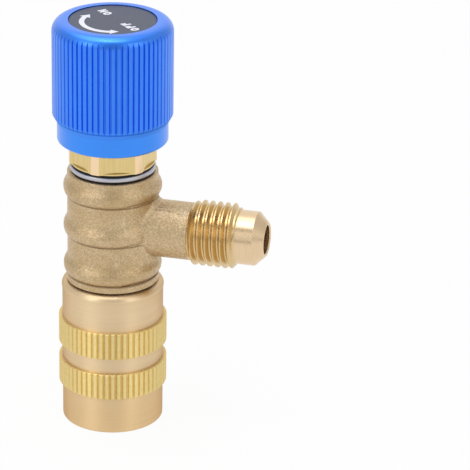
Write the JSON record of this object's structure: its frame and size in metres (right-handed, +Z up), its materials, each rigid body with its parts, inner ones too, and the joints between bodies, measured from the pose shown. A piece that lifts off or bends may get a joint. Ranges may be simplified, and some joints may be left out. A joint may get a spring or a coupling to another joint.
{
  "type": "charging valve",
  "caption": "Refrigerant charging valve: knurled swivel flare nut below, side flare port, and a blue knob whose screw stem lowers a core-depressing pin.",
  "frame": {"origin": "on the valve's main axis, in the plane of the coupling nut's mouth, where the valve stands", "axes": "+Z up the main axis from the nut to the knob; +X along the side port, out of its flare end"},
  "size_m": [0.0359, 0.0196, 0.07],
  "materials": {
    "nut_brass": "turned, satin, with bright milled knurls",
    "cast_brass": "hot forged and blasted matt, with a machined bright port",
    "turned_brass": "turned bright",
    "bonnet_brass": "drawn hexagon bar, bright",
    "stem_steel": "turned stainless steel",
    "spring_steel": "drawn spring wire",
    "seal_ring_steel": "pressed, zinc plated",
    "fastener_steel": "zinc plated",
    "seal_rubber": "moulded, matt",
    "gasket_rubber": "moulded, matt",
    "ptfe": "turned, waxy",
    "blue_anodised": "blue anodised, satin",
    "label_film": "grey printed film, satin"
  },
  "bodies": {
    "valve_body": {"valve_body": "cast_brass", "nut_retaining_ring": "spring_steel", "nut_thrust_washer": "ptfe", "flare_gasket": "gasket_rubber", "pin_guide": "turned_brass", "bonnet": "bonnet_brass", "bonnet_seal_ring": "seal_ring_steel", "bonnet_seal_rubber": "seal_rubber"},
    "depressor": {"depressor_pin": "stem_steel", "pin_clip": "spring_steel"},
    "spindle": {"stem": "stem_steel", "stem_lower_o_ring": "seal_rubber", "stem_lower_backup_ring": "ptfe", "stem_upper_o_ring": "seal_rubber", "stem_upper_backup_ring": "ptfe", "knob": "blue_anodised", "knob_washer": "fastener_steel", "knob_screw": "fastener_steel", "knob_label": "label_film"},
    "swivel_nut": {"coupling_nut": "nut_brass"}
  },
  "joints": [
    {"name": "stem_travel", "type": "slide", "parent": "valve_body", "child": "depressor", "axis": [0, 0, 1], "range_m": [-0.003, 0]},
    {"name": "knob_turn", "type": "hinge", "parent": "depressor", "child": "spindle", "pos_m": [0, 0, 0.06], "axis": [0, 0, 1], "range_deg": [-1080, 0]},
    {"name": "nut_swivel", "type": "hinge", "parent": "valve_body", "child": "swivel_nut", "pos_m": [0, 0, 0.012], "axis": [0, 0, 1], "continuous": true}
  ],
  "couplings": [
    {"joint": "knob_turn", "follows": "stem_travel", "rad_per_m": 6283.2}
  ]
}
